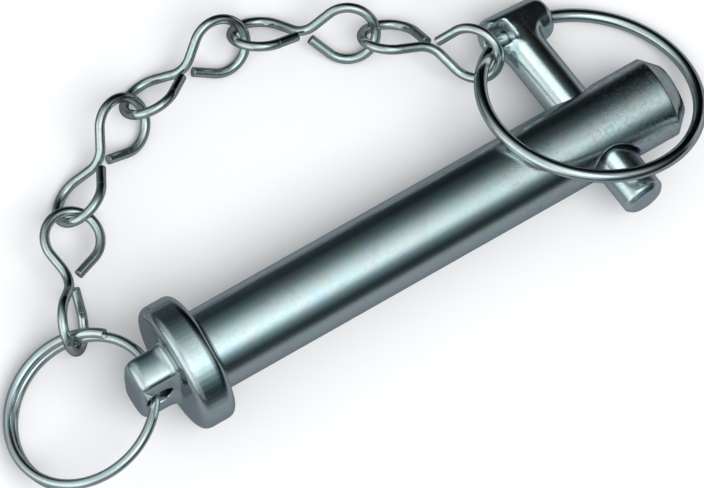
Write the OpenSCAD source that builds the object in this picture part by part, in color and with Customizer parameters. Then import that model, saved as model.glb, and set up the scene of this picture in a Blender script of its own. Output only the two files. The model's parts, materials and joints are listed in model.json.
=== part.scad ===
// Top link pin with a collar, held by a linch pin on a short chain.
//
// The pin lies on its collar and the rim of its tip, as it would on a bench.
// Origin: centre of the collar's bearing face. +X runs along the shank to the
// tip, +Z is up. Lengths are millimetres and angles are degrees.

/* [Main pin] */
// Diameter of the shank
shank_d = 19; // [18.6:0.1:19.4]
// Length from the collar's bearing face to the end of the tip
shank_len = 120; // [118:0.5:126]
// Diameter of the collar
collar_d = 30; // [28:0.5:31]
// Thickness of the collar
collar_t = 8.5; // [6:0.5:9]
// Rounding of the collar's two rims
collar_round = 2.2; // [1:0.1:2.8]
// Height and depth of the bevel round the tip
tip_bevel = 3.4; // [1:0.1:4.5]
// Distance from the bearing face to the cross hole
hole_x = 100; // [98:0.5:103]

/* [Boss] */
// Length of the flatted boss behind the collar
boss_len = 9.6; // [9:0.1:12]
// Diameter of the boss across its round sides
boss_d = 18.6; // [17:0.1:22]
// Width of the boss across its two flats
boss_flat = 8.6; // [7:0.1:9.5]
// Rounding of the boss's free end
boss_round = 2.6; // [1:0.1:4]
// Rounding in the corner between boss and collar
boss_fillet = 2.0; // [0.5:0.1:2.8]
// Diameter of the hole through the flats
tab_hole_d = 6.4; // [6:0.1:6.6]
// Distance of that hole's axis from the boss's free end
tab_hole_inset = 4.75; // [4.4:0.05:5]

/* [Linch pin] */
// Diameter of the linch pin
linch_d = 10; // [9.4:0.1:10.4]
// Play between the linch pin and its cross hole, on the diameter
linch_play = 2.5; // [2:0.1:3]
// Length from the main pin's axis to the linch pin's far end
linch_tip_len = 19.7; // [16:0.1:21]
// Height of the head's top above the main pin's axis
head_top = 35.6; // [35:0.1:36.2]
// Diameter of the bar that forms the head
head_d = 10.1; // [9.6:0.1:10.4]
// Thickness of the head across its two flats
head_t = 9.4; // [8.6:0.1:9.5]
// Reach of the head's lug from the linch pin's axis
lug_reach = 9.6; // [8.6:0.1:9.8]
// Reach of the head's short side from the linch pin's axis
back_reach = 6.3; // [5.6:0.1:6.8]
// Radius of the flare under the head
neck_flare = 4.2; // [2:0.1:4.6]
// Height of the ring's bore above the main pin's axis
bore_s = 29.6; // [29:0.1:30.4]

/* [Linch ring] */
// Diameter of the ring's wire
ring_wire_d = 3; // [2.6:0.1:3.2]
// Radius of the ring to the middle of its wire
ring_r = 24.4; // [24.2:0.1:25.4]
// Distance between the two ends of the wire inside the head
ring_wire_gap = 1.5; // [0.5:0.1:3]
// Radial clearance of the wire in the head's bore
bore_clear = 0.1; // [0.05:0.01:0.1]

/* [Split ring] */
// Diameter of the split ring's wire
split_wire_d = 2.3; // [2:0.1:2.4]
// Radius of the split ring to the middle of its wire
split_r = 17.43; // [17:0.05:18]
// Gap between the two turns of wire
split_gap = 0.1; // [0.05:0.01:0.2]

/* [Chain] */
// Diameter of the chain's wire
chain_wire_d = 2.2; // [2:0.1:2.3]
// Length of one link over its two ends
link_len = 34.2; // [33.8:0.1:34.8]
// Width of a loop over its wire
loop_w = 14.8; // [14:0.1:15.2]
// Distance of the two cut ends from the middle of the link
cut_back = 2.0; // [1:0.1:3]

/* [How it lies] */
// Droop of the pin's axis from its collar to its tip
droop = 2.6; // [2.2:0.1:3]
// Roll of the pin that lets the linch pin's head touch the ground
roll = 4.5; // [4:0.1:5]
// Turn of the linch pin across its loose hole
linch_skew = 4.4; // [0:0.1:5]
// Turn of the linch pin about its own axis
linch_turn = 18.4; // [17.6:0.1:18.6]
// Lean of the linch ring from the linch pin's axis
ring_lean = 11; // [10.8:0.1:14]

/* [Hidden] */
$fn = 96;

zinc = [0.72, 0.77, 0.78];
zinc_dark = [0.62, 0.67, 0.69];

shank_r = shank_d / 2;
collar_r = collar_d / 2;
boss_r = boss_d / 2;
cross_hole_d = linch_d + linch_play;
mouth_bevel = 0.8;
linch_r = linch_d / 2;
// The loose linch pin rests a little below the middle of its hole.
linch_drop = 0.5;
linch_tip_bevel = 1.1;
head_r = head_d / 2;
head_y = head_top - head_r;
lug_round = 2.4;
back_round = 1.2;
// The flare laps this far over the lower edges of the head's flats.
flare_lap = 0.06;
// Notch in the head's short side, where the ring's wire goes in
notch_x = -2.3;
notch_r = 2.6;
ring_wire_r = ring_wire_d / 2;
bore_r = ring_wire_r + bore_clear;
// The ring's chord lies in the bore; its middle is this far along the lug.
chord_x = 2.9;
chord_half = 6.9;
ring_bend_r = 3;
chord_depth = ring_bend_r + sqrt(pow(ring_r - ring_bend_r, 2) - pow(chord_half, 2));
chord_angle = asin(chord_half / (ring_r - ring_bend_r));
joint_swell = 0.02;
joint_half = 0.1;
split_wire_r = split_wire_d / 2;
split_pitch = split_wire_d + split_gap;
chain_wire_r = chain_wire_d / 2;
loop_r = loop_w / 2 - chain_wire_r;
loop_x = link_len / 2 - loop_w / 2;
strand_angle = asin(loop_r / loop_x);
strand_len = sqrt(loop_x * loop_x - loop_r * loop_r);
chain_bend_r = 6;

// Height of the ground that everything lies on, below the bearing face's centre
ground_z = -14.9;
// A link lies on both loops, each turned this far from the level.
loop_tilt = 45;
lying_z = ground_z + loop_r * sin(loop_tilt) + chain_wire_r;

// The chain's second hinge point, and the heading of links 2 to 5 from it
chain_start = [-7.6, 44.9, lying_z];
headings = [59.5, 29.7, 5.8, -30.8, -47.8];
// Climb of each link from its first hinge point to its second
climbs = [0.3, 0, 0, 0, 13];
// Turn of each link's first and second loop about the link's own axis
first_tilts = [70, -45, -45, -45, -43];
second_tilts = [14, 45, 45, 45, 52];
// Side of the cut ends: 1 is the link's left and upper side
cut_sides = [-1, -1, -1, -1, 1];

// Slack between each link and the next
slacks = [1.2, 1.2, 1.2, 0.1, 1.2];
// Link 1 hangs in the split ring this far off the second hinge point.
hang = [0.13, -1.37, 1.64];

// Way from a link's first hinge point to its second
function step(i) = (link_len - 2 * chain_wire_d - slacks[i]) * [
    cos(climbs[i]) * cos(headings[i]),
    cos(climbs[i]) * sin(headings[i]),
    sin(climbs[i])
];
// Hinge point before link i, counted from the chain's second hinge point
function hinge(i) =
    i == 0 ? chain_start + hang - step(0) :
    i == 1 ? chain_start :
    hinge(i - 1) + step(i - 1);

// --- Frames ------------------------------------------------------------------

// Puts what is built along +X into the main pin's lie.
module lie_pin() {
    rotate([0, droop, 0])
        rotate([-roll, 0, 0])
            children();
}

// X along the lug, Y along the linch pin to its head.
module lie_linch() {
    lie_pin()
        translate([hole_x, 0, -linch_drop])
            rotate([0, 0, linch_skew])
                rotate([0, linch_turn, 0])
                    children();
}

// X along the ring's bore, the ring spreads to -Y.
module lie_linch_ring() {
    lie_linch()
        translate([chord_x, bore_s, 0])
            rotate([-ring_lean, 0, 0])
                children();
}

// X level across the ring, Z its axis.
module lie_split_ring() {
    translate([-28.9, 4.4, -4.2])
        rotate([0, 0, 140])
            rotate([0, 25, 0])
                rotate([0, 0, 188])
                    children();
}

// --- Helpers -----------------------------------------------------------------

// Solid of revolution about X, drawn as [radius, x].
module turned() {
    rotate([0, 90, 0])
        rotate_extrude()
            children();
}

// Rectangle from the axis to r and from x0 to x1, with its outer corners rounded.
module rounded_disc(r, x0, x1, round_low, round_high) {
    difference() {
        translate([0, x0])
            square([r, x1 - x0]);
        translate([r - round_low, x0 - 1])
            square([round_low + 1, round_low + 1]);
        translate([r - round_high, x1 - round_high])
            square([round_high + 1, round_high + 1]);
    }
    translate([r - round_low, x0 + round_low])
        circle(round_low);
    translate([r - round_high, x1 - round_high])
        circle(round_high);
}

// Straight round wire along X.
module straight_wire(x0, x1, wire_r) {
    translate([x0, 0, 0])
        rotate([0, 90, 0])
            cylinder(h = x1 - x0, r = wire_r, $fn = 48);
}

// Short collar along X, a hair thicker than the wire, where two stretches meet.
module wire_joint(wire_r) {
    straight_wire(-joint_half, joint_half, wire_r + joint_swell);
}

// Part of a ring of round wire about Z.
module wire_arc(r, wire_r, from, sweep) {
    rotate([0, 0, from])
        rotate_extrude(angle = sweep)
            translate([r, 0])
                circle(wire_r, $fn = 48);
}

// --- Main pin ----------------------------------------------------------------

module shank_outline() {
    polygon([
        [0, -1],
        [shank_r, -1],
        [shank_r, shank_len - tip_bevel],
        [shank_r - tip_bevel, shank_len],
        [0, shank_len]
    ]);
}

module boss_outline() {
    boss_end = -collar_t - boss_len;
    rounded_disc(boss_r, boss_end, -collar_t + 1, boss_round, 0.01);
    difference() {
        translate([boss_r - 1, -collar_t - boss_fillet])
            square([boss_fillet + 1, boss_fillet + 1]);
        translate([boss_r + boss_fillet, -collar_t - boss_fillet])
            circle(boss_fillet);
    }
}

module boss() {
    intersection() {
        turned()
            boss_outline();
        translate([-collar_t - boss_len - 1, -boss_flat / 2, -collar_r])
            cube([boss_len + 3, boss_flat, 2 * collar_r]);
    }
}

module cross_hole() {
    rotate([90, 0, 0])
        cylinder(h = shank_d + 2, d = cross_hole_d, center = true);
    for (side = [0, 180])
        rotate([0, 0, side])
            translate([0, shank_r - 2 * mouth_bevel, 0])
                rotate([-90, 0, 0])
                    cylinder(
                        h = 3 * mouth_bevel,
                        d1 = cross_hole_d - mouth_bevel,
                        d2 = cross_hole_d + 2 * mouth_bevel
                    );
}

module tab_hole() {
    rotate([90, 0, 0])
        cylinder(h = boss_flat + 2, d = tab_hole_d, center = true);
}

module main_pin() {
    color(zinc)
        lie_pin()
            difference() {
                union() {
                    turned()
                        shank_outline();
                    turned()
                        rounded_disc(collar_r, -collar_t, 0, collar_round, collar_round);
                    boss();
                }
                translate([hole_x, 0, 0])
                    cross_hole();
                translate([tab_hole_inset - collar_t - boss_len, 0, 0])
                    tab_hole();
            }
}

// --- Linch pin ---------------------------------------------------------------

// Bar across the top of the linch pin, with two flats.
module linch_head() {
    flare_y = head_y + flare_lap - sqrt(head_r * head_r - head_t * head_t / 4);
    flare_r = linch_r + neck_flare;
    intersection() {
        union() {
            translate([0, head_y, 0])
                turned()
                    rounded_disc(head_r, -back_reach, lug_reach, back_round, lug_round);
            rotate([-90, 0, 0])
                rotate_extrude()
                    difference() {
                        translate([0, flare_y - neck_flare])
                            square([flare_r, neck_flare]);
                        translate([flare_r, flare_y - neck_flare])
                            circle(neck_flare);
                    }
        }
        translate([-back_reach, 0, -head_t / 2])
            cube([back_reach + lug_reach, head_top, head_t]);
    }
}

module ring_bore() {
    translate([0, bore_s, 0]) {
        rotate([0, 90, 0])
            cylinder(h = 4 * lug_reach, r = bore_r, center = true);
        translate([notch_x - back_reach, 0, 0])
            rotate([0, 90, 0])
                cylinder(h = back_reach, r = notch_r);
        translate([notch_x - back_reach, -notch_r, 0])
            cube([back_reach, 2 * notch_r, head_t]);
    }
}

module linch_stem() {
    rotate([-90, 0, 0]) {
        translate([0, 0, linch_tip_bevel - linch_tip_len])
            cylinder(h = head_y + linch_tip_len - linch_tip_bevel, r = linch_r);
        translate([0, 0, -linch_tip_len])
            cylinder(h = linch_tip_bevel, r1 = linch_r - linch_tip_bevel, r2 = linch_r);
    }
}

module linch_pin() {
    color(zinc)
        lie_linch()
            difference() {
                union() {
                    linch_stem();
                    linch_head();
                }
                ring_bore();
            }
}

// A hoop whose chord lies in the head's bore, where the wire's two ends meet.
module linch_ring() {
    hoop_from = 90 + chord_angle;
    color(zinc_dark)
        lie_linch_ring() {
            translate([0, -chord_depth, 0])
                wire_arc(ring_r, ring_wire_r, hoop_from, 360 - 2 * chord_angle);
            for (side = [0, 1])
                mirror([side, 0, 0]) {
                    straight_wire(ring_wire_gap / 2, chord_half, ring_wire_r);
                    translate([chord_half, -ring_bend_r, 0])
                        wire_arc(ring_bend_r, ring_wire_r, 90 - chord_angle, chord_angle);
                    translate([chord_half, 0, 0])
                        wire_joint(ring_wire_r);
                    translate([0, -chord_depth, 0])
                        rotate([0, 0, 90 - chord_angle])
                            translate([ring_r, 0, 0])
                                rotate([0, 0, 90])
                                    wire_joint(ring_wire_r);
                }
        }
}

// --- Split ring --------------------------------------------------------------

// One and a half turns: a level turn, a sloping half turn and a level turn below.
module split_ring() {
    slope = atan(split_pitch / 2 / split_r);
    slope_r = split_r / cos(slope);
    turn_from = 72;
    slope_from = 244;
    color(zinc_dark)
        lie_split_ring() {
            wire_arc(split_r, split_wire_r, turn_from, slope_from - turn_from);
            translate([0, 0, -split_pitch / 2])
                rotate([0, 0, slope_from])
                    rotate([0, -slope, 0])
                        wire_arc(slope_r, split_wire_r, 0, 180);
            translate([0, 0, -split_pitch])
                wire_arc(split_r, split_wire_r, slope_from + 180, 180);
            for (end = [0, 1])
                translate([0, 0, -end * split_pitch])
                    rotate([0, 0, slope_from + 180 * end])
                        translate([split_r, 0, 0])
                            rotate([0, 0, 90])
                                wire_joint(split_wire_r);
        }
}

// --- Chain -------------------------------------------------------------------

// One loop of a link, spreading to +X from the middle of the link. The strand
// on the -Y side runs on into the bend, and the one on the +Y side is cut short.
module link_loop(bend_reach) {
    open_angle = 90 - strand_angle;
    translate([loop_x, 0, 0])
        wire_arc(loop_r, chain_wire_r, open_angle - 180, 360 - 2 * open_angle);
    rotate([0, 0, -strand_angle]) {
        straight_wire(bend_reach, strand_len, chain_wire_r);
        translate([bend_reach, 0, 0])
            wire_joint(chain_wire_r);
    }
    rotate([0, 0, strand_angle])
        straight_wire(cut_back, strand_len, chain_wire_r);
    for (side = [-1, 1])
        rotate([0, 0, side * strand_angle])
            translate([strand_len, 0, 0])
                wire_joint(chain_wire_r);
}

// Direction of a loop's whole strand away from the middle of the link
function strand_way(end, tilt, cut_side) = [
    end * cos(strand_angle),
    -cut_side * sin(strand_angle) * cos(tilt),
    -cut_side * sin(strand_angle) * sin(tilt)
];

// Bend of wire in the corner at the origin between the ways a and b.
module wire_bend(a, b, bend_r, wire_r) {
    turn = acos(-a * b);
    inward = (a + b) / norm(a + b);
    normal = cross(b, a) / norm(cross(b, a));
    across = cross(normal, -inward);
    centre = inward * bend_r / cos(turn / 2);
    multmatrix([
        [-inward.x, across.x, normal.x, centre.x],
        [-inward.y, across.y, normal.y, centre.y],
        [-inward.z, across.z, normal.z, centre.z],
        [0, 0, 0, 1]
    ])
        wire_arc(bend_r, wire_r, -turn / 2, turn);
}

// Two loops of one bent wire, each turned about the link's axis.
module chain_link(first_tilt, second_tilt, cut_side) {
    flip = cut_side < 0 ? 1 : 0;
    first_way = strand_way(-1, first_tilt, cut_side);
    second_way = strand_way(1, second_tilt, cut_side);
    bend_reach = chain_bend_r * tan(acos(-first_way * second_way) / 2);
    wire_bend(first_way, second_way, chain_bend_r, chain_wire_r);
    rotate([second_tilt, 0, 0])
        mirror([0, flip, 0])
            link_loop(bend_reach);
    rotate([first_tilt, 0, 0])
        mirror([1, 0, 0])
            mirror([0, flip, 0])
                link_loop(bend_reach);
}

module place_link(i) {
    middle = hinge(i) + step(i) / 2;
    color(zinc)
        translate(middle)
            rotate([0, -climbs[i], headings[i]])
                chain_link(first_tilts[i], second_tilts[i], cut_sides[i]);
}

// --- Assembly ----------------------------------------------------------------

main_pin();
split_ring();
place_link(0);  // chain_link_1
place_link(1);  // chain_link_2
place_link(2);  // chain_link_3
place_link(3);  // chain_link_4
place_link(4);  // chain_link_5
linch_pin();
linch_ring();
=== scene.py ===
# %% [markdown]
# # A top link pin with its linch pin and chain
#
# This is a steel pin from a tractor's three point linkage. A short linch pin goes across its
# tip, and a chain of bent wire keeps the two together. Everything is bright zinc plate.
# The shapes come from the CAD model, which is loaded here as a fixed frame. The lesson is
# about what makes plated steel look real: reflections, small marks and softened edges.

import json
import math

import bmesh
import bpy
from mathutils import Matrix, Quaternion, Vector


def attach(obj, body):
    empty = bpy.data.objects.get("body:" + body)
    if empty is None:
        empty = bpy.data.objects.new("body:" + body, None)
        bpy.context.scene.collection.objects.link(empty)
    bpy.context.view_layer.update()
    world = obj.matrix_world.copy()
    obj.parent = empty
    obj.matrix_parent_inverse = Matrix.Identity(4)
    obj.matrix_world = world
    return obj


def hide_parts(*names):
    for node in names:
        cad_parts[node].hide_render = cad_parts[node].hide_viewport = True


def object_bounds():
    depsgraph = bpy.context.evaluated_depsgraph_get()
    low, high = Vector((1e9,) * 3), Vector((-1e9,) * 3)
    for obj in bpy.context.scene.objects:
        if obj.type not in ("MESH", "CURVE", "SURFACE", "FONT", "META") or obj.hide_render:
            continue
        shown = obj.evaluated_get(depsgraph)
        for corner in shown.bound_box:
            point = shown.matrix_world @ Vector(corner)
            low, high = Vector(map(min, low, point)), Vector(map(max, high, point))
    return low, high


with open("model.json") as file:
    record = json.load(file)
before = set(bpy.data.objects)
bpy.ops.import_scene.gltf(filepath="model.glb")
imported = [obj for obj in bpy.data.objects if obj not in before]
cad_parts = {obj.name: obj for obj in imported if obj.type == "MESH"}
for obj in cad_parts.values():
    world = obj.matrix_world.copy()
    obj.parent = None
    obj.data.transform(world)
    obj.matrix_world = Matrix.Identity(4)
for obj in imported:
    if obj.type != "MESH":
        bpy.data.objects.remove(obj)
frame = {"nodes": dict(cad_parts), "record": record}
cad_low, cad_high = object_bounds()
nodes = frame["nodes"]
mounts = {m["name"]: m for m in frame["record"]["mounts"]}
joints = {j["name"]: j for j in frame["record"]["behaviour"]["joints"]}
print("pieces:", sorted(nodes))
print("size in mm:", [round(1000 * s, 1) for s in cad_high - cad_low])

# %% [markdown]
# ## Names for the directions of the pin
#
# The shank's axis is in the record, as the mount that a stranger's part fits. Reading it
# from there keeps the light in step with the CAD model, whatever way the pin lies.

# %% Axis of the shank
MM = 0.001
shank_axis = Vector(mounts["shank"]["axis"]).normalized()
ground_z = cad_low.z
print("shank axis:", [round(x, 3) for x in shank_axis])

# %% [markdown]
# ## Camera
#
# A long lens from far away keeps the shank's two edges nearly parallel, as in a catalogue
# picture. The camera looks down steeply, and it is rolled so that the pin rises to the right.
# The three directions below are those of the picture itself: right, up and towards the lens.


# %% Make the camera
def as_object(name, data):
    """Object in the scene with this mesh, lamp or camera as its data."""
    obj = bpy.data.objects.new(name, data)
    bpy.context.scene.collection.objects.link(obj)
    return obj


picture_right = Vector((0.8537, -0.5207, 0.0))
picture_back = Vector((-0.1610, -0.2640, 0.9510)).normalized()
picture_right = (picture_right - picture_right.dot(picture_back) * picture_back).normalized()
picture_up = picture_back.cross(picture_right)
aim = 32.3 * MM * picture_right + 23.7 * MM * picture_up
camera_distance = 1.9
sensor_width = 36.0
lens_mm = 446.9

camera_data = bpy.data.cameras.new("camera")
camera_data.sensor_width = sensor_width
camera_data.lens = lens_mm
camera_data.clip_start = 0.05
camera_data.clip_end = 20.0
camera = as_object("camera", camera_data)
camera.location = aim + camera_distance * picture_back
camera.rotation_mode = "QUATERNION"
camera.rotation_quaternion = picture_back.to_track_quat("Z", "Y")


def roll_of(cam_object, right):
    """Angle that brings the camera's own X to the picture's right."""
    x_axis = cam_object.rotation_quaternion @ Vector((1, 0, 0))
    z_axis = cam_object.rotation_quaternion @ Vector((0, 0, 1))
    return math.atan2(x_axis.cross(right).dot(z_axis), x_axis.dot(right))


turn = Quaternion(picture_back, roll_of(camera, picture_right))
camera.rotation_quaternion = turn @ camera.rotation_quaternion
bpy.context.scene.camera = camera
print("camera at", [round(x, 3) for x in camera.location])

# %% [markdown]
# ## Colour management
#
# The Standard view shows a colour as it is written. Filmic views would turn the bright
# streak of the zinc into a dull grey.

# %% Plain view transform
bpy.context.scene.view_settings.view_transform = "Standard"

# %% [markdown]
# ## Helpers for node trees
#
# A node tree is a list of boxes and wires. A few small helpers keep the cells below short:
# they add a node with its values, join two sockets, and make the nodes used most often.


# %% Node helpers
def add_node(tree, kind, values=None, **settings):
    """A node of that kind, with attributes from settings and socket values from values."""
    node = tree.nodes.new(kind)
    for name, value in settings.items():
        setattr(node, name, value)
    for name, value in (values or {}).items():
        node.inputs[name].default_value = value
    return node


def wire(tree, source, target):
    """Joins an output socket to an input socket."""
    tree.links.new(source, target)


def colour_ramp(tree, stops, fac):
    """Colour ramp over fac, with stops as (position, grey or colour)."""
    ramp = add_node(tree, "ShaderNodeValToRGB")
    elements = ramp.color_ramp.elements
    while len(elements) < len(stops):
        elements.new(0.5)
    for element, (position, shade) in zip(elements, stops):
        element.position = position
        grey = isinstance(shade, (int, float))
        element.color = (shade, shade, shade, 1) if grey else (*shade, 1)
    wire(tree, fac, ramp.inputs["Fac"])
    return ramp.outputs["Color"]


def math_node(tree, operation, *values):
    """A sum, product and so on of sockets or numbers."""
    node = add_node(tree, "ShaderNodeMath", operation=operation)
    for socket, value in zip(node.inputs, values):
        if isinstance(value, (int, float)):
            socket.default_value = value
        else:
            wire(tree, value, socket)
    return node.outputs[0]


def mix_colours(tree, factor, a, b, blend_type="MIX"):
    """Colour a turned into b by factor."""
    node = add_node(tree, "ShaderNodeMix", data_type="RGBA", blend_type=blend_type)
    for socket, value in ((node.inputs[0], factor), (node.inputs[6], a), (node.inputs[7], b)):
        if isinstance(value, (int, float)):
            socket.default_value = value
        elif isinstance(value, tuple):
            socket.default_value = (*value, 1)
        else:
            wire(tree, value, socket)
    return node.outputs[2]


def along(tree, direction, axis):
    """Component of a direction along an axis."""
    dot = add_node(tree, "ShaderNodeVectorMath", operation="DOT_PRODUCT")
    wire(tree, direction, dot.inputs[0])
    dot.inputs[1].default_value = axis
    return dot.outputs["Value"]


# %% [markdown]
# ## Floor
#
# The pin lies on a pale board. It is plain, so that the shadow under the pin is the only
# thing on it. The board lies a hair lower than the pin, so that no two faces coincide.


# %% Make the floor
def flat_square(name, half, height):
    """Level square round the origin, with that half side."""
    mesh = bpy.data.meshes.new(name)
    corners = ((-1, -1), (1, -1), (1, 1), (-1, 1))
    mesh.from_pydata([(x * half, y * half, height) for x, y in corners], [], [(0, 1, 2, 3)])
    return as_object(name, mesh)


def matte_material(name):
    """Dull material without a colour yet, and its shader."""
    material = bpy.data.materials.new(name)
    material.use_nodes = True
    shader = material.node_tree.nodes["Principled BSDF"]
    shader.inputs["Roughness"].default_value = 0.9
    shader.inputs["Specular IOR Level"].default_value = 0.1
    return material, shader


floor_half = 6.0
floor_gap = 0.05 * MM
floor_colour = (0.93, 0.93, 0.935)

floor = flat_square("floor", floor_half, ground_z - floor_gap)
floor_material, floor_shader = matte_material("pale_board")
floor_shader.inputs["Base Color"].default_value = (*floor_colour, 1)
floor.data.materials.append(floor_material)
print("floor at z", round(ground_z, 4))

# %% [markdown]
# ## Forged edges
#
# The collar, the boss and the linch pin's head are forged, so their edges are soft and their
# corners run into each other. A voxel remesh turns a CAD shape into one even skin, and a
# Smooth modifier then rounds it. A vertex group says where it rounds much and where little.
# The plain shank needs none of this, so its own CAD faces are kept.

# %% Helpers for forged pieces
skin_voxel = 0.2 * MM
weld_distance = 0.001 * MM
crease_angle = math.radians(28)


def ramp_between(value, start, end):
    """0 at start and 1 at end, with a soft way between."""
    share = min(max((value - start) / (end - start), 0.0), 1.0)
    return share * share * (3 - 2 * share)


def off_axis(point, place, axis):
    """Distance of a point from the line through a place along an axis."""
    way = point - place
    return (way - way.dot(axis) * axis).length


def shaped_mesh(obj):
    """New mesh with the object's modifiers in it; the object is used up."""
    graph = bpy.context.evaluated_depsgraph_get()
    mesh = bpy.data.meshes.new_from_object(obj.evaluated_get(graph))
    bpy.data.objects.remove(obj)
    return mesh


def side_of(mesh, cut, far_side):
    """Copy of a mesh on one side of a plane across the shank, closed at the cut."""
    bm = bmesh.new()
    bm.from_mesh(mesh)
    bmesh.ops.remove_doubles(bm, verts=bm.verts, dist=weld_distance)
    everything = bm.verts[:] + bm.edges[:] + bm.faces[:]
    bmesh.ops.bisect_plane(
        bm, geom=everything, plane_co=cut * shank_axis, plane_no=shank_axis,
        clear_inner=far_side, clear_outer=not far_side,
    )
    bmesh.ops.edgeloop_fill(bm, edges=[edge for edge in bm.edges if edge.is_boundary])
    half = bpy.data.meshes.new(mesh.name + "_side")
    bm.to_mesh(half)
    bm.free()
    return half


def forge(mesh, softness, light_passes, soft_passes):
    """Even skin over a mesh, rounded a little everywhere and more where softness is near 1.

    softness takes a point and gives 0 to 1.
    """
    blank = as_object("blank", mesh)
    skin = blank.modifiers.new("skin", "REMESH")
    skin.mode = "VOXEL"
    skin.voxel_size = skin_voxel
    skin.adaptivity = 0.0
    forging = as_object("forging", shaped_mesh(blank))
    soft_group = forging.vertex_groups.new(name="soft")
    for vertex in forging.data.vertices:
        soft_group.add([vertex.index], softness(vertex.co), "REPLACE")
    for passes, group_name in ((light_passes, ""), (soft_passes, "soft")):
        rounding = forging.modifiers.new("rounding", "SMOOTH")
        rounding.factor = 0.5
        rounding.iterations = passes
        rounding.vertex_group = group_name
    return shaped_mesh(forging)


def join_meshes(name, *meshes):
    """One smooth-shaded mesh, with a material slot for each part and creases at sharp edges."""
    bm = bmesh.new()
    faces_so_far = 0
    for number, mesh in enumerate(meshes):
        bm.from_mesh(mesh)
        bm.faces.ensure_lookup_table()
        for face in bm.faces[faces_so_far:]:
            face.smooth = True
            face.material_index = number
        faces_so_far = len(bm.faces)
    joined = bpy.data.meshes.new(name)
    bm.to_mesh(joined)
    bm.free()
    joined.set_sharp_from_angle(angle=crease_angle)
    return joined


# %% Main pin with a forged collar and boss
# The frame's origin is on the shank's axis, in the collar's face.
origin = Vector((0, 0, 0))
boss_start = -8.5 * MM
boss_hole = -13.35 * MM * shank_axis
boss_hole_axis = Vector((0, 0, 1)).cross(shank_axis).normalized()
softness_at_hole = 0.12
# The two skins meet on the shank, just ahead of the collar's face, and overlap a little.
seam = 0.45 * MM
overlap = 0.3 * MM
# Least cosine between a face's normal and the way out, for a face of the plain shank.
facing_out = 0.97


def boss_softness(point):
    """Much on the boss, none on the collar, little round the hole for the split ring."""
    reach = point.dot(shank_axis)
    on_boss = ramp_between(reach, boss_start + 1.2 * MM, boss_start + 0.2 * MM)
    off_rim = ramp_between(off_axis(point, origin, shank_axis), 12.6 * MM, 10.8 * MM)
    off_hole = ramp_between(off_axis(point, boss_hole, boss_hole_axis), 3.6 * MM, 5.6 * MM)
    return on_boss * off_rim * (softness_at_hole + (1 - softness_at_hole) * off_hole)


def shade_as_cylinder(mesh, start):
    """The plain shank's long faces take their normals from the cylinder they stand for."""
    normals = [corner.vector.copy() for corner in mesh.corner_normals]
    for face in mesh.polygons:
        reach = face.center.dot(shank_axis)
        across = face.center - reach * shank_axis
        if reach < start or face.normal.dot(across.normalized()) < facing_out:
            continue
        for corner in face.loop_indices:
            point = mesh.vertices[mesh.loops[corner].vertex_index].co
            normals[corner] = (point - point.dot(shank_axis) * shank_axis).normalized()
    mesh.normals_split_custom_set(normals)


pin_mesh = nodes["main_pin"].data
rear_blank = side_of(pin_mesh, seam + overlap, far_side=False)
rear = forge(rear_blank, boss_softness, light_passes=5, soft_passes=340)
front = side_of(pin_mesh, seam, far_side=True)
pin_skin = join_meshes("forged_main_pin", front, rear)
shade_as_cylinder(pin_skin, seam + overlap)
forged_pin = as_object("forged_main_pin", pin_skin)
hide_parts("main_pin")
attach(forged_pin, "pin")
print("forged pin faces:", len(forged_pin.data.polygons))

# %% Linch pin with a forged head
linch_axis = Vector(joints["linch_pull"]["axis"]).normalized()
ring_bore = Vector(joints["ring_flip"]["pos_m"])
ring_bore_axis = Vector(joints["ring_flip"]["axis"]).normalized()


def head_softness(point):
    """Much on the head, none on the straight stem and at the ring's bore."""
    on_head = ramp_between((point - ring_bore).dot(linch_axis), -10.0 * MM, -7.0 * MM)
    off_bore = ramp_between(off_axis(point, ring_bore, ring_bore_axis), 2.0 * MM, 3.2 * MM)
    return on_head * off_bore


linch_blank = nodes["linch_pin"].data.copy()
linch_mesh = forge(linch_blank, head_softness, light_passes=12, soft_passes=70)
forged_linch = as_object("forged_linch_pin", join_meshes("forged_linch_pin", linch_mesh))
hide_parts("linch_pin")
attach(forged_linch, "linch_pin")
print("forged linch pin faces:", len(forged_linch.data.polygons))

# %% [markdown]
# ## Light
#
# A metal has no colour of its own to show: it shows the room. So the light has two jobs.
# The large lamp and the sky light the floor evenly. A dark tent stands over the pin for its
# reflections, the way a photographer hangs cards round silver, and a grey card lies under it.
# Tent and card are seen only in reflections, so they cast no shadow and hide nothing.
#
# A long bright strip of the tent runs along the shank and makes the streak down its length.
# A wide window behind the boss lights the collar's rim and the rings, and pale walls stand
# far off both ends. The linch pin leans away from the strip and has a small lamp of its own.

# %% Sky
sky_colour = (0.97, 0.98, 1.0)
sky_light = 0.62

world = bpy.data.worlds.new("studio")
bpy.context.scene.world = world
world.use_nodes = True
sky_tree = world.node_tree
sky = sky_tree.nodes["Background"]
sky.inputs["Color"].default_value = (*sky_colour, 1)
# The sky shows at full strength where it is seen, and lights things with less than that.
rays = add_node(sky_tree, "ShaderNodeLightPath").outputs
seen = math_node(sky_tree, "MAXIMUM", rays["Is Camera Ray"], rays["Is Glossy Ray"])
seen = math_node(sky_tree, "MAXIMUM", seen, rays["Is Transmission Ray"])
sky_strength = math_node(sky_tree, "MULTIPLY_ADD", seen, 1.0 - sky_light, sky_light)
wire(sky_tree, sky_strength, sky.inputs["Strength"])

# %% Lamps
stage_middle = Vector((0.03, 0.02, 0))


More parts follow.
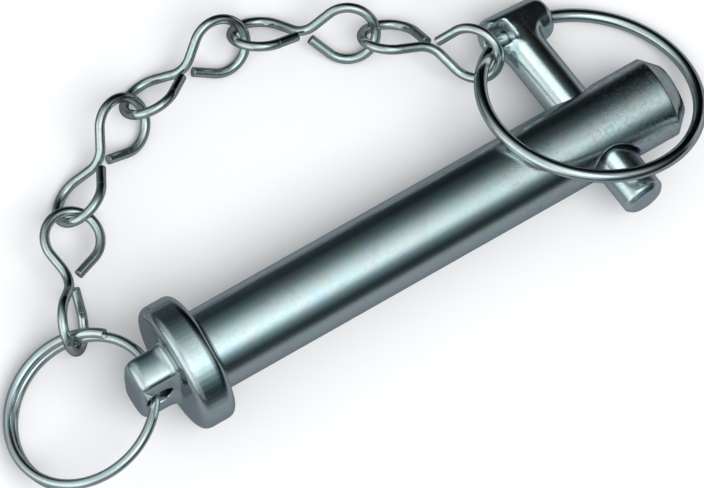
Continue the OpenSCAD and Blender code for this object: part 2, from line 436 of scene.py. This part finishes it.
def soft_box(name, width, height, energy, place, target):
    """Rectangular lamp at a place, turned to a target; lengths in metres."""
    data = bpy.data.lights.new(name, "AREA")
    data.shape = "RECTANGLE"
    data.size = width
    data.size_y = height
    data.energy = energy
    lamp = as_object(name, data)
    lamp.location = place
    lamp.rotation_mode = "QUATERNION"
    lamp.rotation_quaternion = (place - target).to_track_quat("Z", "Y")
    return lamp


lamp = soft_box(
    "soft_box", width=1.4, height=0.9, energy=15.0,
    place=Vector((0.1, -0.75, 1.15)), target=stage_middle,
)
lamp.visible_glossy = False

# The small lamp hangs where the lens sees it mirrored in the linch pin, and lights that alone.
linch_middle = ring_bore - 14 * MM * linch_axis
linch_front = linch_axis.cross(picture_back).cross(linch_axis).normalized()
box_way = (2 * picture_back.dot(linch_front) * linch_front - picture_back).normalized()
box_distance = 0.5
linch_box = soft_box(
    "linch_box", width=0.34, height=0.30, energy=0.30,
    place=linch_middle + box_distance * box_way, target=linch_middle,
)
linch_box.data.color = (0.92, 1.0, 1.0)
box_sees = bpy.data.collections.new("linch_box_sees")
box_sees.objects.link(forged_linch)
linch_box.light_linking.receiver_collection = box_sees


# %% Tent for the reflections
def reflections_only(obj):
    """Hides an object from every ray but the glossy ones."""
    for ray in ("camera", "diffuse", "transmission", "volume_scatter", "shadow"):
        setattr(obj, "visible_" + ray, False)


def make_tent(radius, rings, sides):
    """Half a ball, open below, centred under the pin."""
    tent_mesh = bpy.data.meshes.new("reflection_tent")
    bm = bmesh.new()
    bmesh.ops.create_uvsphere(bm, u_segments=sides, v_segments=rings, radius=radius)
    below = [v for v in bm.verts if v.co.z < -1 * MM]
    bmesh.ops.delete(bm, geom=below, context="VERTS")
    bm.to_mesh(tent_mesh)
    bm.free()
    tent = as_object("reflection_tent", tent_mesh)
    tent.location = Vector((stage_middle.x, stage_middle.y, ground_z))
    reflections_only(tent)
    return tent


tent = make_tent(radius=1.2, rings=48, sides=64)
tent_material = bpy.data.materials.new("tent_cloth")
tent_material.use_nodes = True
cloth = tent_material.node_tree
cloth.nodes.clear()

# Directions across the shank: one rises towards the lens, the other goes to its near side.
tent_top = (picture_back - picture_back.dot(shank_axis) * shank_axis).normalized()
tent_near = shank_axis.cross(tent_top).normalized()

place = add_node(cloth, "ShaderNodeTexCoord")
direction = add_node(cloth, "ShaderNodeVectorMath", operation="NORMALIZE")
wire(cloth, place.outputs["Object"], direction.inputs[0])
way_out = direction.outputs["Vector"]
towards_near = along(cloth, way_out, tent_near)
towards_top = along(cloth, way_out, tent_top)
across = math_node(cloth, "ARCTAN2", towards_near, towards_top)
lengthwise = math_node(cloth, "ARCSINE", along(cloth, way_out, shank_axis))
# Both angles as shares from 0 to 1; 0.5 is the shank's top, and square to the shank.
turn_share = math_node(cloth, "MULTIPLY_ADD", across, 0.5 / math.pi, 0.5)
end_share = math_node(cloth, "MULTIPLY_ADD", lengthwise, 1.0 / math.pi, 0.5)


def across_shank(stops):
    """Light by degrees from the shank's top towards its near side."""
    return colour_ramp(cloth, [(0.5 + turn / 360, shade) for turn, shade in stops], turn_share)


def along_shank(stops):
    """Light by degrees along the shank towards its tip."""
    return colour_ramp(cloth, [(0.5 + turn / 180, shade) for turn, shade in stops], end_share)


# Light of the strip across the shank, and the share of it along the shank.
strip_across = [
    (-100, (0.03, 0.045, 0.05)),
    (-80, (0.02, 0.03, 0.035)),
    (-60, (0.08, 0.11, 0.12)),
    (-46, (0.17, 0.22, 0.23)),
    (-34, (0.33, 0.40, 0.41)),
    (-22, (0.56, 0.65, 0.66)),
    (-10, (0.78, 0.88, 0.90)),
    (2, (1.00, 1.12, 1.14)),
    (11, (1.12, 1.26, 1.28)),
    (20, (1.08, 1.22, 1.26)),
    (29, (0.64, 0.80, 0.84)),
    (38, (0.26, 0.35, 0.37)),
    (48, (0.11, 0.16, 0.17)),
    (60, (0.03, 0.045, 0.05)),
    (76, (0.015, 0.025, 0.03)),
]
strip_along = [
    (-80, 0.05), (-64, 0.25), (-46, 0.70), (-30, 1.0), (-12, 1.3), (10.5, 1.38), (13.5, 0.76),
    (16.5, 0.88), (17.1, 0.76), (18, 0.50), (24, 0.50), (32, 0.45), (42, 0.22), (54, 0.06),
    (70, 0.02),
]
# The strip's far half is dimmer towards the tip: where that counts, and the share left.
far_half_across = [(-42, 1.0), (-29, 0.6), (-14, 0.25), (0, 0.0)]
far_half_along = [(8, 1.0), (11, 0.85), (13.4, 0.70), (16.5, 0.45), (17.6, 0.25)]
window_across = [
    (-100, (0.14, 0.16, 0.17)), (-52, (0.80, 0.92, 0.93)), (34, (0.90, 1.04, 1.06)),
    (60, (0.30, 0.34, 0.36)), (100, (0.22, 0.25, 0.27)),
]
window_along = [(-78, 0.30), (-55, 0.80), (-18, 0.80), (2, 0.0)]
walls_along = [
    (-80, (0.80, 0.88, 0.86)), (-60, (0.60, 0.66, 0.65)), (-40, (0.0, 0.0, 0.0)),
    (66, (0.0, 0.0, 0.0)), (80, (0.42, 0.46, 0.47)),
]

strip = mix_colours(cloth, 1.0, across_shank(strip_across), along_shank(strip_along), "MULTIPLY")
strip = mix_colours(
    cloth, across_shank(far_half_across), strip, along_shank(far_half_along), "MULTIPLY",
)
window = mix_colours(cloth, 1.0, across_shank(window_across), along_shank(window_along), "MULTIPLY")
tent_light = mix_colours(cloth, 1.0, strip, window, "LIGHTEN")
tent_light = mix_colours(cloth, 1.0, tent_light, along_shank(walls_along), "ADD")
glow = add_node(cloth, "ShaderNodeEmission", {"Strength": 1.0})
wire(cloth, tent_light, glow.inputs["Color"])
tent_out = add_node(cloth, "ShaderNodeOutputMaterial")
wire(cloth, glow.outputs[0], tent_out.inputs["Surface"])
tent.data.materials.append(tent_material)
print("tent faces:", len(tent.data.polygons))

# %% Grey card under the pin
card_half = 1.1
card_gap = 0.02 * MM
card_grey = (0.20, 0.228, 0.245)
card_glow = (0.86, 0.94, 1.0)

card = flat_square("grey_card", card_half, ground_z - card_gap)
reflections_only(card)
card_material, card_shader = matte_material("grey_card")
card_shader.inputs["Emission Strength"].default_value = 0.12
card_tree = card_material.node_tree
# The card is palest in a lane under the pin and goes dark on both sides of it.
card_place = add_node(card_tree, "ShaderNodeTexCoord")
card_xyz = add_node(card_tree, "ShaderNodeSeparateXYZ")
wire(card_tree, card_place.outputs["Object"], card_xyz.inputs[0])
off_lane = math_node(card_tree, "ABSOLUTE", card_xyz.outputs["Y"])
lane = colour_ramp(card_tree, [(0.045, 1.0), (0.10, 0.35), (0.15, 0.12)], off_lane)
for socket, shade in (("Base Color", card_grey), ("Emission Color", card_glow)):
    in_lane = mix_colours(card_tree, 1.0, lane, shade, "MULTIPLY")
    wire(card_tree, in_lane, card_shader.inputs[socket])
card.data.materials.append(card_material)

# %% [markdown]
# ## Zinc plate
#
# Bright zinc is a thin, slightly milky metal layer. Soft clouds show where the bath left it
# thicker, with a blue, green or straw cast. Fine specks show where the bath bit into the
# steel, and brown stains where the plate has aged. Fine lines are left from drawing or
# turning the steel before it was plated, and a grain finer than all of these breaks up the
# reflections. The group below makes them from the place on the surface, and each material
# sets its own amounts.


# %% Zinc plate group
def make_zinc_group():
    """Shader group: colour, roughness and height of plated steel."""
    line_width, stain_size, peel_size, grain_size = 1.1 * MM, 6.5 * MM, 2.2 * MM, 0.32 * MM
    milk_colour = (0.80, 0.84, 0.85)
    speck_colour = (0.17, 0.19, 0.19)
    stain_colour = (0.46, 0.40, 0.27)

    tree = bpy.data.node_groups.new("zinc_plate", "ShaderNodeTree")
    for in_out, sockets in (
        ("INPUT", (
            ("Place", "Vector"), ("Tint", "Color"), ("Cloud Size", "Float"),
            ("Speck Size", "Float"), ("Specks", "Float"), ("Lines", "Float"),
            ("Grain", "Float"), ("Stains", "Float"), ("Polish", "Float"),
        )),
        ("OUTPUT", (("Colour", "Color"), ("Roughness", "Float"), ("Height", "Float"))),
    ):
        for name, kind in sockets:
            tree.interface.new_socket(name=name, in_out=in_out, socket_type="NodeSocket" + kind)
    given = add_node(tree, "NodeGroupInput").outputs
    made = add_node(tree, "NodeGroupOutput").inputs

    def noise(size, detail, roughness, stretch=(1, 1, 1), distortion=0.0):
        """Noise whose grains are about that size; size is a number or a socket."""
        scaled = add_node(tree, "ShaderNodeVectorMath", operation="MULTIPLY")
        wire(tree, given["Place"], scaled.inputs[0])
        scaled.inputs[1].default_value = stretch
        texture = add_node(
            tree, "ShaderNodeTexNoise",
            {"Detail": detail, "Roughness": roughness, "Distortion": distortion},
        )
        wire(tree, scaled.outputs[0], texture.inputs["Vector"])
        wire(tree, math_node(tree, "DIVIDE", 1.0, size), texture.inputs["Scale"])
        return texture.outputs["Fac"]

    def times(a, b):
        return math_node(tree, "MULTIPLY", a, b)

    def plus(a, b):
        return math_node(tree, "ADD", a, b)

    clouds = noise(given["Cloud Size"], 3.0, 0.55, distortion=0.4)
    cloud_mask = colour_ramp(tree, [(0.35, 0.0), (0.68, 1.0)], clouds)
    casts = colour_ramp(
        tree,
        [(0.30, (0.86, 0.98, 1.0)), (0.45, (0.93, 1.0, 0.96)), (0.56, (1.0, 0.97, 0.90)),
         (0.70, (0.95, 0.92, 1.0))],
        noise(times(given["Cloud Size"], 0.55), 2.0, 0.5),
    )
    specks = noise(given["Speck Size"], 5.0, 0.75)
    speck_mask = times(colour_ramp(tree, [(0.50, 0.0), (0.64, 1.0)], specks), given["Specks"])
    stains = noise(stain_size, 5.0, 0.62, distortion=0.8)
    stain_mask = times(colour_ramp(tree, [(0.52, 0.0), (0.70, 1.0)], stains), given["Stains"])
    lines = noise(line_width, 3.0, 0.6, stretch=(0.02, 1, 1))
    line_mask = times(math_node(tree, "SUBTRACT", lines, 0.5), given["Lines"])

    colour = mix_colours(tree, 0.75, given["Tint"], casts, "MULTIPLY")
    colour = mix_colours(tree, times(cloud_mask, 0.10), colour, milk_colour)
    colour = mix_colours(tree, times(speck_mask, 0.55), colour, speck_colour)
    colour = mix_colours(tree, stain_mask, colour, stain_colour)
    wire(tree, colour, made["Colour"])

    rough = plus(given["Polish"], times(cloud_mask, 0.04))
    rough = plus(rough, times(speck_mask, 0.22))
    rough = plus(rough, times(line_mask, 0.30))
    wire(tree, rough, made["Roughness"])

    peel = noise(peel_size, 2.0, 0.5)
    height = math_node(tree, "SUBTRACT", times(peel, 0.35), speck_mask)
    height = plus(height, times(line_mask, 1.2))
    height = plus(height, times(noise(grain_size, 3.0, 0.65), given["Grain"]))
    wire(tree, height, made["Height"])
    return tree


zinc_group = make_zinc_group()
print("zinc group nodes:", len(zinc_group.nodes))

# %% Material from the zinc group
# Wear grows between these two places on the shank, and stays at its most up to the tip.
wear_start = 68 * MM
wear_full = 105 * MM


def make_zinc(name, tint, polish, cloud_mm=9.0, speck_mm=0.9, specks=0.5, lines=0.3, grain=0.5,
              stains=0.1, tip_wear=None, bump_mm=0.02, edge_mm=0.3, rim=(0.66, 0.64, 0.69)):
    """A zinc plated steel; rim is the tint of its reflections at a grazing angle.

    With tip_wear, stains and specks grow to that amount towards the shank's tip.
    """
    material = bpy.data.materials.new(name)
    material.use_nodes = True
    tree = material.node_tree
    shader = tree.nodes["Principled BSDF"]
    shader.inputs["Metallic"].default_value = 1.0
    shader.inputs["Specular Tint"].default_value = (*rim, 1)
    place = add_node(tree, "ShaderNodeTexCoord")
    amounts = {
        "Tint": (*tint, 1), "Cloud Size": cloud_mm * MM, "Speck Size": speck_mm * MM,
        "Specks": specks, "Lines": lines, "Grain": grain, "Stains": stains, "Polish": polish,
    }
    plate = add_node(tree, "ShaderNodeGroup", node_tree=zinc_group)
    for socket, value in amounts.items():
        plate.inputs[socket].default_value = value
    wire(tree, place.outputs["Object"], plate.inputs["Place"])
    if tip_wear is not None:
        reach = along(tree, place.outputs["Object"], shank_axis)
        for socket in ("Stains", "Specks"):
            near_tip = add_node(
                tree, "ShaderNodeMapRange",
                {"From Min": wear_start, "From Max": wear_full,
                 "To Min": amounts[socket], "To Max": tip_wear},
            )
            wire(tree, reach, near_tip.inputs["Value"])
            wire(tree, near_tip.outputs["Result"], plate.inputs[socket])
    wire(tree, plate.outputs["Colour"], shader.inputs["Base Color"])
    wire(tree, plate.outputs["Roughness"], shader.inputs["Roughness"])
    bump = add_node(tree, "ShaderNodeBump", {"Strength": 0.5, "Distance": bump_mm * MM})
    wire(tree, plate.outputs["Height"], bump.inputs["Height"])
    soft_edge = add_node(tree, "ShaderNodeBevel", {"Radius": edge_mm * MM}, samples=8)
    wire(tree, soft_edge.outputs["Normal"], bump.inputs["Normal"])
    wire(tree, bump.outputs["Normal"], shader.inputs["Normal"])
    return material


def put_on(obj, *materials):
    """The object keeps its shape and gets these materials, one for each slot."""
    obj.data.materials.clear()
    for material in materials:
        obj.data.materials.append(material)


# %% Finishes of the pieces
shank_zinc = make_zinc(
    "shank_zinc", (0.62, 0.68, 0.70), polish=0.13, lines=0.15, specks=0.12, grain=1.6,
    stains=0.15, tip_wear=0.6, edge_mm=0.7,
)
# The collar and boss get a paler tint than the shank: painted light, a brighter copy of the same
# zinc that stands in for the strong light on the boss top.
collar_zinc_painted_light = make_zinc(
    "collar_zinc_painted_light", (0.80, 0.83, 0.83), polish=0.17, speck_mm=1.4, specks=0.15, lines=0.1,
    grain=0.9, stains=0.3, edge_mm=0.5,
)
head_zinc = make_zinc(
    "forged_zinc", (0.72, 0.78, 0.80), polish=0.21, speck_mm=1.2, specks=0.2, lines=0.05,
    grain=0.9, edge_mm=0.5,
)
ring_zinc = make_zinc(
    "ring_zinc", (0.70, 0.73, 0.74), polish=0.11, cloud_mm=6.0, specks=0.15, lines=0.05,
    grain=1.0, rim=(0.36, 0.38, 0.39),
)
chain_zinc = make_zinc(
    "chain_zinc", (0.64, 0.68, 0.67), polish=0.10, cloud_mm=5.0, specks=0.30, lines=0.05,
    grain=1.4, rim=(0.26, 0.28, 0.28),
)

# The second slot is the collar's paler zinc, which carries painted light on the collar and boss.
put_on(forged_pin, shank_zinc, collar_zinc_painted_light)
put_on(forged_linch, head_zinc)
put_on(nodes["linch_ring"], ring_zinc)
put_on(nodes["split_ring"], ring_zinc)
for number in range(1, 6):
    put_on(nodes[f"chain_link_{number}"], chain_zinc)
